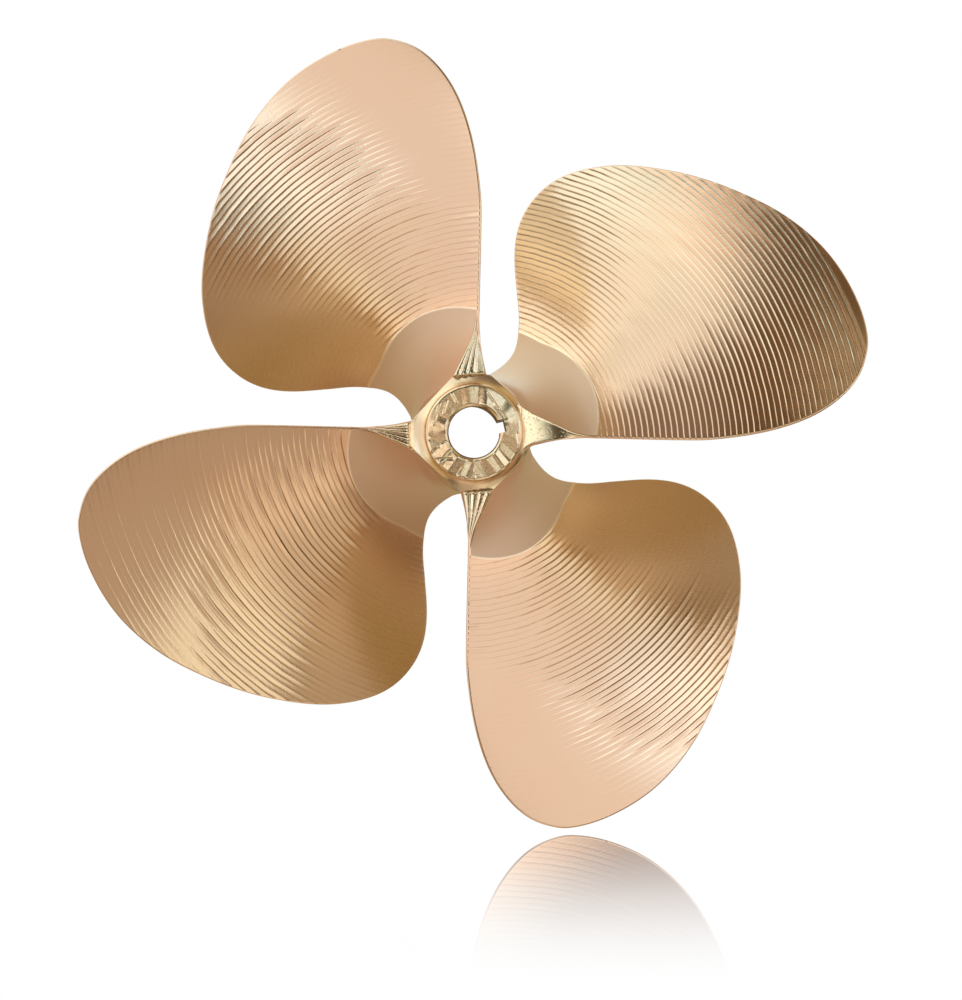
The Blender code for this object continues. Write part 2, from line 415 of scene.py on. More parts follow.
def in_lobe(radius, degrees):
    """Rises from zero to one into the broad lobe at the leading edge, where the cuts run out."""
    out = radius - LOBE_FOOT_RADIUS
    border = LOBE_DEGREES + LOBE_DRIFT * out
    return ease(degrees, border, border + LOBE_SOFTNESS + LOBE_SOFTENING * out)


def crest(number, angle, blade, seed):
    """Height of a crest: every second one is weak, none is quite even, and they fade out at both ends."""
    chance = np.random.default_rng(seed + 1)
    at = np.clip(number, 0, CRESTS - 1).astype(int)
    height = CREST_HEIGHT * chance.uniform(*CREST_SPREAD, CRESTS)[at]
    shift = chance.uniform(-FADE_SHIFT, FADE_SHIFT, CRESTS)[at]
    radius = FIRST_CREST_RADIUS + number * CUT_WIDTH
    degrees = np.degrees(angle)
    border = np.interp(radius, *zip(*PLAIN_BORDERS[blade])) + shift
    plain = 1 - ease(degrees, border + PLAIN_FADE[0], border + PLAIN_FADE[1])
    height = height * (1 - (1 - PLAIN_SHARES[blade]) * plain)
    height = height * (1 - (1 - LOBE_SHARES[blade]) * in_lobe(radius, degrees + shift))
    height = height * np.where(number % 2 == 0, STRONG_CREST_SHARES[blade], WEAK_CREST_SHARES[blade])
    wave = ripple(angle * WAVE_RADIUS + number * WAVE_STEP, seed + 2, waves=4, longest=0.06, shortest=0.01)
    return height * (1 + CREST_RIPPLE * wave)


def milling(radius, angle, blade, seed):
    """Height of the milled cuts and of the lip where they begin, and how strong the painted shade of a
    groove is there.
    """
    wander = CUT_WANDER * ripple(angle * WAVE_RADIUS, seed, waves=5, longest=0.09, shortest=0.012)
    place = (radius - FIRST_CREST_RADIUS) / CUT_WIDTH + wander
    number = np.floor(place)
    near, far = (crest(at, angle, blade, seed) for at in (number, number + 1))
    edge = smooth_zone_edge(angle)
    begun = ease(radius, edge + MILLING_RUN_IN[0], edge + MILLING_RUN_IN[1])
    strength = begun * (1 - ease(radius, TIP_RADIUS - RIM_FADE[0], TIP_RADIUS - RIM_FADE[1]))
    run = np.where(radius < edge, LIP_INNER_RUN, LIP_WIDTH)
    lip = LIP_HEIGHT * np.exp(-np.abs(radius - edge) / run)
    # Painted shade: how dark the colour is made at the foot of each rising flank, as strong as the next
    # crest is high.
    beside = (place - number - CUT_FALL - GROOVE_SHADE_PLACE) / GROOVE_SHADE_WIDTH
    painted_groove_shade = np.exp(-beside ** 2) * strength * far / CREST_HEIGHT
    return cut_height(place - number, near, far) * strength + lip, painted_groove_shade


def row_radii():
    """Radii of the sheet's rows: close at the fillet, then in step with the cuts, then to the tip."""
    fillet = np.linspace(BURIED_RADIUS + 0.0002, FILLET_TOP_RADIUS, FILLET_ROWS, endpoint=False)
    flare = np.linspace(FILLET_TOP_RADIUS, FIRST_CREST_RADIUS, FLARE_ROWS, endpoint=False)
    cuts = [FIRST_CREST_RADIUS + CUT_WIDTH * (k + at) for k in range(CUTS) for at in CUT_ROWS]
    last = FIRST_CREST_RADIUS + CUT_WIDTH * CUTS
    rim = TIP_RADIUS - EDGE_ROUND
    distance = np.linspace(math.sqrt(1 - last / rim), 0, TIP_ROWS)
    tip = rim * (1 - distance ** 2)
    return np.concatenate([[BURIED_RADIUS], fillet, flare, cuts, tip])


def face_shares(count):
    """Shares of the way across a face, closer together near both edges."""
    even = np.linspace(0, 1, count)
    return 0.6 * (1 - np.cos(math.pi * even)) / 2 + 0.4 * even


def on_section(radius, angle, offset):
    """Points of the blade at these angles, moved forward off the pitch surface by the offset."""
    slope = pitch_slope(radius)
    turned = angle - offset * np.sin(slope) / radius
    along = place_along(angle) + offset * np.cos(slope)
    along = np.minimum(along, FORWARD_LIMIT_Y)
    return np.stack([-radius * np.sin(turned), along, radius * np.cos(turned)], axis=-1)


def face(radius, size, side, count, blade, seed):
    """Points of one face from the trailing to the leading edge, and their finish and painted light.

    Side is -1 for the pressure face and 1 for the suction face, the back.
    """
    share = np.broadcast_to(face_shares(count), (len(radius), count))
    radius = radius[:, None]
    cosine = np.cos(pitch_slope(radius))
    start, end = trailing_angle(radius), leading_angle(radius)
    start = start - side * 2 * math.pi / PITCH * cosine * spread(radius, start, 0.0, size)
    end = end + cosine * foot_fillet(radius, place_along(end)) / radius
    angle = start + (end - start) * share
    cuts, painted_groove_shade = milling(radius, angle, blade, seed)
    offset = side * (spread(radius, angle, share, size) + cuts)
    if side > 0:
        offset = offset + thickness(radius, share)
    # Painted shade: the grooves are darkened more in the lobe, by the blade's share.
    lobe = in_lobe(radius, np.degrees(angle))
    painted_groove_shade = painted_groove_shade * (1 + (LOBE_GROOVE_SHADES[blade] - 1) * lobe)
    beyond = radius - smooth_zone_edge(angle)
    root = 1 - ease(beyond, -ROOT_BORDER_SOFTNESS, ROOT_BORDER_SOFTNESS)
    satin = np.maximum(root, LOBE_SATIN * (1 - LOBE_SHARES[blade]) * lobe)
    back = np.full_like(painted_groove_shade, max(side, 0))
    # Nearness to the lip, where a pale highlight is painted into the colour.
    lip = np.exp(-(beyond / LIP_WIDTH) ** 2)
    return on_section(radius, angle, offset), np.stack([painted_groove_shade, satin, back, lip], axis=-1)


def edge_strip(first, last, radius, angle, rise, outward, count, fan):
    """The rounded strip from one face's edge to the other's.

    Where it widens, at the root, it is flat with round corners, and it faces along the shaft: aft at
    the trailing edge, where outward is -1, and forward at the leading edge, where it is 1.
    """
    across = np.linspace(0, 1, count + 2)[1:-1]
    width = np.linalg.norm(last - first, axis=-1)[:, None]
    power = 2 + 9 * ease(width, *FLAT_WIDTHS)
    close = (1 - np.cos(math.pi * across)) / 2
    across = across + (close - across) * (1 - ease(width, *EVEN_WIDTHS))
    bulge = EDGE_ROUND * (1 - np.abs(2 * across - 1) ** power) ** (1 / power)
    slope = pitch_slope(radius)
    out_radius = np.stack([-np.sin(angle), 0 * angle, np.cos(angle)], axis=-1)
    helix = np.stack(
        [-np.cos(angle) * np.cos(slope), np.sin(slope), -np.sin(angle) * np.cos(slope)], axis=-1
    )
    out = out_radius * rise[:, None] + helix * (outward * np.sqrt(1 - rise ** 2))[:, None]
    facing = ease(width, *SHAFT_WIDTHS)
    out = out * (1 - facing) + np.array([0, outward, 0]) * facing
    points = first[:, None] + (last - first)[:, None] * across[..., None]
    points = points + out[:, None] * bulge[..., None]
    if fan is not None:
        points[..., 1] -= fan(radius[:, None], across)
    return points


def blade_points(number):
    """The rows of one blade, each once round: pressure face, leading edge, suction face, trailing edge.

    With each point comes its finish and its painted light.
    """
    radius = row_radii()
    blade = number - 1
    near, near_finish_and_painted_light = face(radius, PRESSURE_FLARE, -1, PRESSURE_COLUMNS, blade, 10 * number)
    far, far_finish_and_painted_light = face(radius, SUCTION_FLARE, 1, SUCTION_COLUMNS, blade, 10 * number + 5)
    lead = edge_strip(
        near[:, -1], far[:, -1], radius, leading_angle(radius), leading_rise(radius), 1,
        LEADING_COLUMNS, None,
    )
    trail = edge_strip(
        near[:, 0], far[:, 0], radius, trailing_angle(radius), trailing_rise(radius), -1,
        TRAILING_COLUMNS, FANS[blade],
    )
    loop = np.concatenate([near, lead, far[:, ::-1], trail[:, ::-1], near[:, :1]], axis=1)
    bare = [np.zeros((len(radius), count, len(FINISH_AND_PAINTED_LIGHT))) for count in (LEADING_COLUMNS, TRAILING_COLUMNS)]
    finish_and_painted_light = np.concatenate(
        [near_finish_and_painted_light, bare[0], far_finish_and_painted_light[:, ::-1], bare[1], near_finish_and_painted_light[:, :1]], axis=1
    )
    loop[..., 1] = np.minimum(loop[..., 1], FORWARD_LIMIT_Y)
    turn = FIRST_BLADE_ANGLE + 2 * math.pi * blade / BLADES
    x, z = loop[..., 0].copy(), loop[..., 2].copy()
    loop[..., 0] = x * math.cos(turn) - z * math.sin(turn)
    loop[..., 2] = x * math.sin(turn) + z * math.cos(turn)
    return loop, finish_and_painted_light


def cove(radius):
    """Depth of the turned shoulder below the hub's aft face: steep at the end ring, then flatter."""
    width = SHOULDER_END_RADIUS - SHOULDER_FOOT_RADIUS
    out = np.clip((radius - SHOULDER_FOOT_RADIUS) / width, 0, 1)
    return END_RING_HEIGHT + SHOULDER_DEPTH * (1 - (1 - out) ** COVE_POWER)


def lean(radius):
    """The fans stand a little proud near the hub, so that they face slightly outward."""
    return FAN_LEAN * np.clip((LEAN_TOP_RADIUS - radius) / LEAN_RUN, 0, 1)


def fluted(turned_radius, rise, flutes, depth, first, last):
    """A fan: turned with the shoulder up to a radius, and beyond it left proud, with tapering flutes.

    Rise is how far it stands proud, and the flutes lie between the shares first and last of the way
    across.
    """

    def height(radius, across):
        turned = HUB_LENGTH - cove(radius) + TRAILING_EDGE_Y - EDGE_ROUND
        beyond = ease(radius, turned_radius + TURNED_BORDER[0], turned_radius + TURNED_BORDER[1])
        place = np.clip((across - first) / (last - first), 0, 1)
        ridge = np.abs(np.sin(math.pi * flutes * place)) ** 0.5
        fade = (1 - ease(radius, *FLUTE_FADE_RADII)) * (radius < FAN_END_RADIUS)
        rim = 0.0003 * np.exp(-((radius - turned_radius - 0.0010) / 0.0008) ** 2)
        proud = rise * fade + depth * (ridge - 0.6) * fade + rim + lean(radius)
        return (turned - TURNED_SINK) * (1 - beyond) + proud * beyond

    return height


def unturned(radius, across):
    """The fan without an arc or flutes: it runs straight on from the end ring."""
    out = np.clip((radius - SHOULDER_FOOT_RADIUS) / (FAN_END_RADIUS - SHOULDER_FOOT_RADIUS), 0, 1)
    height = HUB_LENGTH + TRAILING_EDGE_Y - EDGE_ROUND - END_RING_HEIGHT
    return height * (1 - out) ** UNTURNED_POWER + 0 * across


# The fans of the first to the fourth blade.
FANS = (
    fluted(0.0580, 0.0005, 3, 0.0012, 0.02, 0.72),
    fluted(0.0640, 0.0003, 4, 0.0010, 0.05, 0.95),
    fluted(0.0590, 0.0004, 4, 0.0010, 0.05, 0.95),
    unturned,
)


def pick_nothing():
    bpy.ops.object.select_all(action="DESELECT")


def mend(fill_sides):
    """In edit mode, welds what coincides, closes what is open and turns the faces outward.

    Only holes of up to so many sides are closed, and with 0 sides all of them are.
    """
    bpy.ops.mesh.select_all(action="SELECT")
    bpy.ops.mesh.remove_doubles(threshold=WELD_DISTANCE)
    bpy.ops.mesh.select_all(action="SELECT")
    bpy.ops.mesh.fill_holes(sides=fill_sides)
    bpy.ops.mesh.select_all(action="SELECT")
    bpy.ops.mesh.normals_make_consistent(inside=False)


def add_blade(number):
    """A fine flat sheet, wrapped round the blade and closed at the seam, the root and the tip."""
    points, finish_and_painted_light = blade_points(number)
    rows, columns = finish_and_painted_light.shape[:2]
    pick_nothing()
    bpy.ops.mesh.primitive_grid_add(x_subdivisions=columns - 1, y_subdivisions=rows - 1, size=1)
    blade = bpy.context.object
    blade.name = f"blade_{number}"
    blade.data.vertices.foreach_set("co", points.ravel())
    for i, name in enumerate(FINISH_AND_PAINTED_LIGHT):
        attribute = blade.data.attributes.new(name, "FLOAT", "POINT")
        attribute.data.foreach_set("value", finish_and_painted_light[..., i].ravel())
    bpy.ops.object.mode_set(mode="EDIT")
    bpy.ops.mesh.select_mode(type="VERT")
    mend(fill_sides=0)
    bpy.ops.object.mode_set(mode="OBJECT")
    bpy.ops.object.shade_smooth()
    return blade


def hub_profile():
    """Radius and distance aft of the forward face: down the outside, round, and up the bore."""
    seat = HUB_LENGTH
    shoulder = HUB_LENGTH - SHOULDER_LENGTH
    mouth = BORE_AFT_RADIUS + BORE_MOUTH
    ring = [(radius, seat) for radius in np.linspace(mouth + 0.0004, NUT_SEAT_RADIUS, SEAT_POINTS)]
    turn = np.linspace(0, math.pi / 2, ROUND_POINTS)
    edge = END_RING_RADIUS - NUT_SEAT_RADIUS
    ring += [
        (NUT_SEAT_RADIUS + edge * math.sin(t), seat - edge * (1 - math.cos(t))) for t in turn[1:]
    ]
    ring += [(END_RING_RADIUS, seat - 0.0034), (END_RING_RADIUS + 0.0001, seat - 0.0039)]
    width = HUB_AFT_RADIUS - SHOULDER_FOOT_RADIUS
    depth = SHOULDER_LENGTH - END_RING_HEIGHT
    ring += [
        (SHOULDER_FOOT_RADIUS + width * t, seat - END_RING_HEIGHT - depth * t)
        for t in np.linspace(0, 1, SHOULDER_POINTS)
    ]
    round_edge = [shoulder - at for at in (0.00012, 0.00032, 0.00056, 0.0008, 0.0016, 0.0028)]
    run = round_edge + list(np.linspace(shoulder, HUB_EDGE_ROUND, FLANK_POINTS)[2:])
    flank = [(float(hub_radius(-at)), at) for at in run]
    forward_edge = [
        (HUB_FORWARD_RADIUS - HUB_EDGE_ROUND * (1 - math.cos(t)),
         HUB_EDGE_ROUND * (1 - math.sin(t)))
        for t in turn[2::2]
    ]
    taper = BORE_TAPER / 2
    front = [(BORE_AFT_RADIUS + HUB_LENGTH * taper + 0.004 * i, 0.0) for i in (6, 4, 2, 1)]
    start, stop = 0.0008, HUB_LENGTH - BORE_MOUTH
    bore = [
        (BORE_AFT_RADIUS + (HUB_LENGTH - at) * taper, at) for at in np.linspace(start, stop, BORE_POINTS)
    ]
    chamfer = [(BORE_AFT_RADIUS + BORE_MOUTH * t, stop + BORE_MOUTH * t) for t in (0.08, 0.5, 0.92)]
    return ring + flank + forward_edge + front + bore + chamfer


def add_hub():
    """The hub's profile drawn point by point and turned about the shaft. Its keyway is cut afterwards."""
    profile = hub_profile()
    pick_nothing()
    bpy.ops.mesh.primitive_plane_add(size=0.001, location=(profile[0][0], -profile[0][1], 0))
    hub = bpy.context.object
    hub.name = "hub"
    bpy.ops.object.transform_apply()
    bpy.ops.object.mode_set(mode="EDIT")
    bpy.ops.mesh.select_mode(type="VERT")
    bpy.ops.mesh.select_all(action="SELECT")
    bpy.ops.mesh.merge(type="CENTER")
    for (radius, aft), (next_radius, next_aft) in zip(profile, profile[1:] + profile[:1]):
        step = (next_radius - radius, aft - next_aft, 0)
        bpy.ops.mesh.extrude_region_move(TRANSFORM_OT_translate={"value": step})
    bpy.ops.mesh.select_all(action="SELECT")
    bpy.ops.mesh.spin(
        steps=TURNING_STEPS, angle=2 * math.pi, center=(0, 0, 0), axis=(0, 1, 0)
    )
    mend(fill_sides=4)
    bpy.ops.object.mode_set(mode="OBJECT")
    bpy.ops.object.shade_smooth()
    return hub


def shoulder_radius(angle):
    """Outer radius of the shoulder: a flat between each two blades, and a turned arc at each blade."""
    quarter = math.pi / 2
    from_flat = (angle - SQUARE_ANGLE + quarter / 2) % quarter - quarter / 2
    blade = np.round((angle - SQUARE_ANGLE) / quarter + 0.5).astype(int) % BLADES
    return np.minimum(SQUARE_HALF_WIDTH / np.cos(from_flat), np.take(SHOULDER_ARCS, blade))


def shape_shoulder(place):
    """Draws the round shoulder out to the square, as a cove, and blends the square into the flank."""
    radius = np.hypot(place[:, 0], place[:, 2])
    angle = np.arctan2(-place[:, 0], place[:, 2])
    depth = HUB_LENGTH + place[:, 1]
    outer = shoulder_radius(angle)
    edge = outer - SHOULDER_EDGE_ROUND
    share = (radius - SHOULDER_FOOT_RADIUS) / (HUB_AFT_RADIUS - SHOULDER_FOOT_RADIUS)
    on_cove = SHOULDER_FOOT_RADIUS + (edge - SHOULDER_FOOT_RADIUS) * share
    down = (depth - SHOULDER_LENGTH) / (SQUARE_LENGTH - SHOULDER_LENGTH)
    top = cove(edge)
    below = (SQUARE_LENGTH - top) * down
    rounding = np.clip(SHOULDER_EDGE_ROUND - below, 0, SHOULDER_EDGE_ROUND)
    side = outer - SHOULDER_EDGE_ROUND + np.sqrt(SHOULDER_EDGE_ROUND ** 2 - rounding ** 2)
    side = side + (hub_radius(-HUB_LENGTH + SQUARE_LENGTH) - side) * ease(down, 0, 1)
    above = depth <= SHOULDER_LENGTH + WELD_DISTANCE
    shoulder = (radius > SHOULDER_FOOT_RADIUS) & above
    flank = ~above & (depth < SQUARE_LENGTH) & (radius > END_RING_RADIUS)
    new_radius = np.where(shoulder, on_cove, np.where(flank, side, radius))
    new_depth = np.where(shoulder, cove(on_cove), np.where(flank, top + below, depth))
    place[:, 0] *= new_radius / radius
    place[:, 2] *= new_radius / radius
    place[:, 1] = new_depth - HUB_LENGTH


def facet_height(place, angle):
    """Height of the end ring's dressed facets, each a plane that leans its own way."""
    radius = np.hypot(place[:, 0], place[:, 2])
    at = np.degrees(angle) + FACET_BEND * (radius - RING_MIDDLE_RADIUS) * np.sin(FACET_BENDS * angle)
    total = np.zeros(len(place))
    start = FIRST_FACET
    border = RING_FACETS[-1][3]
    for end, right, up, next_border in RING_FACETS:
        middle = (start + end) / 2
        since, until = ((away + 180) % 360 - 180 for away in (at - start, end - at))
        share = ease(since, -border / 2, border / 2) * ease(until, -next_border / 2, next_border / 2)
        x = place[:, 0] + RING_MIDDLE_RADIUS * math.sin(math.radians(middle))
        z = place[:, 2] - RING_MIDDLE_RADIUS * math.cos(math.radians(middle))
        total -= share * (x * math.tan(math.radians(right)) + z * math.tan(math.radians(up)))
        start, border = end, next_border
    return total


def scar_height(place):
    """Height of the end ring's scars, each along a straight line."""
    total = np.zeros(len(place))
    spot = place[:, [0, 2]]
    for first_angle, first_radius, last_angle, last_radius, half_width, height in RING_SCARS:
        first, last = math.radians(first_angle), math.radians(last_angle)
        start = np.array([-first_radius * math.sin(first), first_radius * math.cos(first)])
        step = np.array([-last_radius * math.sin(last), last_radius * math.cos(last)]) - start
        share = np.clip((spot - start) @ step / (step @ step), 0, 1)
        away = np.linalg.norm(spot - start - share[:, None] * step, axis=1)
        total += height * np.exp(-(away / half_width) ** 2)
    return total


def dress_end_ring(place):
    """The end ring was dressed by hand: flat facets and a few scars all round it."""
    radius = np.hypot(place[:, 0], place[:, 2])
    angle = np.arctan2(-place[:, 0], place[:, 2])
    depth = HUB_LENGTH + place[:, 1]
    mouth = BORE_AFT_RADIUS + BORE_MOUTH
    on_ring = ease(radius, mouth + DRESSED_FROM[0], mouth + DRESSED_FROM[1])
    on_ring = on_ring * (radius < END_RING_RADIUS + 0.00005) * (1 - ease(depth, *DRESSED_DEPTHS))
    place[:, 1] -= on_ring * (facet_height(place, angle) + scar_height(place))


def finish_hub(hub):
    """Gives the turned hub its square shoulder and its dressed ring."""
    place = np.empty(len(hub.data.vertices) * 3)
    hub.data.vertices.foreach_get("co", place)
    place = place.reshape(-1, 3)
    shape_shoulder(place)
    dress_end_ring(place)
    hub.data.vertices.foreach_set("co", place.ravel())
    hub.data.update()


def cut_keyway(hub):
    """A bar along the slope of the bore, taken out of its wall. It is higher and longer than the cut."""
    height = KEY_DEPTH * 2.5
    forward_radius = BORE_AFT_RADIUS + HUB_LENGTH * BORE_TAPER / 2
    middle = (BORE_AFT_RADIUS + forward_radius) / 2 + KEY_DEPTH - height / 2
    pick_nothing()
    bpy.ops.mesh.primitive_cube_add(size=1, location=(0, -HUB_LENGTH / 2, middle))
    bar = bpy.context.object
    bar.scale = (KEY_WIDTH, HUB_LENGTH * 1.2, height)
    bar.rotation_euler.x = math.atan(BORE_TAPER / 2)
    bpy.ops.object.transform_apply()
    bar.rotation_euler.y = -KEY_ANGLE
    bpy.ops.object.transform_apply()
    pick_nothing()
    hub.select_set(True)
    bpy.context.view_layer.objects.active = hub
    cut = hub.modifiers.new("keyway", "BOOLEAN")
    cut.operation = "DIFFERENCE"
    cut.object = bar
    bpy.ops.object.modifier_apply(modifier=cut.name)
    bpy.data.objects.remove(bar)
    bpy.ops.object.shade_smooth_by_angle(angle=SHARP_ANGLE)


class Wire:
    """One value, vector or colour on its way through a material, so that its maths reads as written."""

    def __init__(self, nodes, socket):
        self.nodes = nodes
        self.socket = socket

    def math(self, operation, *others):
        return self.nodes.add("ShaderNodeMath", {"operation": operation}, dict(enumerate((self, *others))))

    def __add__(self, other):
        return self.math("ADD", other)

    def __sub__(self, other):
        return self.math("SUBTRACT", other)

    def __rsub__(self, other):
        return self.nodes.add("ShaderNodeMath", {"operation": "SUBTRACT"}, {0: other, 1: self})

    def __mul__(self, other):
        return self.math("MULTIPLY", other)

    def __truediv__(self, other):
        return self.math("DIVIDE", other)

    __radd__ = __add__
    __rmul__ = __mul__

    def clipped(self):
        """The value, kept between zero and one."""
        return self.math("MINIMUM", 1.0).math("MAXIMUM", 0.0)


class Nodes:
    """The node tree of one material or of the world."""

    def __init__(self, owner):
        owner.use_nodes = True
        self.tree = owner.node_tree
        self.tree.nodes.clear()

    def add(self, kind, settings=None, inputs=None, output=0):
        node = self.tree.nodes.new(kind)
        for name, value in (settings or {}).items():
            setattr(node, name, value)
        for name, value in (inputs or {}).items():
            if isinstance(value, Wire):
                self.tree.links.new(value.socket, node.inputs[name])
            else:
                node.inputs[name].default_value = value
        return Wire(self, node.outputs[output]) if len(node.outputs) else node

    def split(self, vector):
        """The three parts of a vector."""
        node = self.add("ShaderNodeSeparateXYZ", None, {0: vector}).socket.node
        return [Wire(self, node.outputs[i]) for i in range(3)]

    def blend(self, share, first, second):
        """A colour between the two."""
        inputs = {"Factor": share, 6: first, 7: second}
        return self.add("ShaderNodeMix", {"data_type": "RGBA"}, inputs, 2)

    def noise(self, vector, scale, detail):
        return self.add("ShaderNodeTexNoise", None, {"Vector": vector, "Scale": scale, "Detail": detail})


BRONZE_WARM = (0.78, 0.465, 0.255, 1.0)
BRONZE_PALE = (0.83, 0.55, 0.35, 1.0)
BRONZE_ROOT = (0.80, 0.56, 0.38, 1.0)
BRONZE_BACK = (0.85, 0.68, 0.51, 1.0)
# The lip colour is a painted highlight; the shade colour and its strength below are painted shade in the
# grooves.
BRONZE_LIP_HIGHLIGHT = (0.96, 0.78, 0.56, 1.0)
BRONZE_SHADE = (0.20, 0.10, 0.05, 1.0)
GROOVE_SHADE = 0.30
HUB_WARM = (0.80, 0.54, 0.30, 1.0)
HUB_PALE = (0.84, 0.61, 0.37, 1.0)
WHITE = (1.0, 1.0, 1.0, 1.0)

# Feed marks across each cut and lathe lines round the hub, so many to a metre, and how deep the bumps
# are. The angle about the shaft starts anew at the seam, between two blades.
FEED_MARKS = 420.0
LATHE_LINES = 1400.0
MILLED_BUMP = 0.00005
TURNED_BUMP = 0.00012
SEAM_ANGLE = math.radians(83)


def new_material(name):
    material = bpy.data.materials.new(name)
    return material, Nodes(material)


def finish_material(nodes, colour, roughness, height, bump_distance):
    """Bare metal of this colour and roughness, with a bump from the height."""
    bump = nodes.add(
        "ShaderNodeBump", None, {"Strength": 1.0, "Distance": bump_distance, "Height": height}
    )
    shader = nodes.add(
        "ShaderNodeBsdfPrincipled", None,
        {"Base Color": colour, "Metallic": 1.0, "Roughness": roughness, "Normal": bump},
    )
    nodes.add("ShaderNodeOutputMaterial", None, {"Surface": shader})


def shaft_coordinates(nodes):
    """The place on the object, its three parts, and its radius from the shaft."""
    place = nodes.add("ShaderNodeTexCoord", None, None, "Object")
    x, y, z = nodes.split(place)
    return place, x, y, z, (x * x + z * z).math("SQRT")


def shaft_angle(x, z):
    """Angle about the shaft, from a seam between two blades."""
    across = x * math.cos(SEAM_ANGLE) + z * math.sin(SEAM_ANGLE)
    up = z * math.cos(SEAM_ANGLE) - x * math.sin(SEAM_ANGLE)
    return across.math("ARCTAN2", up * -1.0)


def milled_bronze():
    """Blades: fine feed marks across each cut, painted shade in the grooves, a painted highlight along the
    lip, a satin root, and pits on the fans.
    """
    material, nodes = new_material("milled bronze")
    place, x, along, z, radius = shaft_coordinates(nodes)
    angle = shaft_angle(x, z)
    on_fan = (((along + 0.0002 - TRAILING_EDGE_Y) / -0.0006).clipped()
              * ((FAN_END_RADIUS - radius) / 0.0020).clipped())
    cut = ((radius - FIRST_CREST_RADIUS) / CUT_WIDTH).math("ROUND")
    marks_at = nodes.add("ShaderNodeCombineXYZ", None, {0: angle * radius * FEED_MARKS, 1: cut * 3.7})
    marks = nodes.noise(marks_at, scale=1.0, detail=3.0)
    tone = nodes.noise(place, scale=7.0, detail=3.0)
    painted_groove_shade, satin, back, lip = (
        nodes.add("ShaderNodeAttribute", {"attribute_name": name}, None, "Fac") for name in FINISH_AND_PAINTED_LIGHT
    )
    colour = nodes.blend(tone, BRONZE_WARM, BRONZE_PALE)
    colour = nodes.blend(back, colour, BRONZE_BACK)
    dressed = ((satin - 0.5) * 2.0).clipped()
    colour = nodes.blend(dressed, colour, BRONZE_ROOT)
    # Painted highlight: the lip is lit up with a pale cream line.
    colour = nodes.blend(lip * 0.8, colour, BRONZE_LIP_HIGHLIGHT)
    # Painted shade: the grooves are darkened in the colour.
    colour = nodes.blend((painted_groove_shade * GROOVE_SHADE).clipped(), colour, BRONZE_SHADE)
    grain = nodes.noise(place, scale=900.0, detail=2.0)
    pits = ((0.40 - nodes.noise(place, scale=420.0, detail=3.0)) * 9.0).clipped() * on_fan
    colour = nodes.blend(on_fan, colour, nodes.blend(pits * 0.6, HUB_PALE, HUB_WARM))
    roughness = 0.11 + marks * 0.05 + tone * 0.03 + satin * 0.28 + dressed * 0.10
    lively = (1.0 - on_fan * 0.7) * (1.0 - satin * 1.9).clipped()
    height = (marks * 0.8 + grain * 0.25) * lively - pits * 3.0
    finish_material(nodes, colour, roughness, height, MILLED_BUMP)
    return material


def turned_bronze():
    """Hub: lathe lines round the shaft under small pits."""
    material, nodes = new_material("turned bronze")
    place, _, along, _, radius = shaft_coordinates(nodes)
    spots = {0: radius * LATHE_LINES, 1: along * LATHE_LINES}
    lines = nodes.noise(nodes.add("ShaderNodeCombineXYZ", None, spots), scale=1.0, detail=2.0)
    pits = nodes.noise(place, scale=260.0, detail=4.0)
    tone = nodes.noise(place, scale=30.0, detail=3.0)
    colour = nodes.blend(tone, HUB_WARM, HUB_PALE)
    roughness = 0.16 + pits * 0.10
    finish_material(nodes, colour, roughness, lines * 0.3 + pits, TURNED_BUMP)
    return material


def dress(piece, material):
    """The piece takes its material, rides on the casting and stands for it."""
    piece.data.materials.clear()
    piece.data.materials.append(material)
    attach(piece, "root")
    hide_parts("propeller")


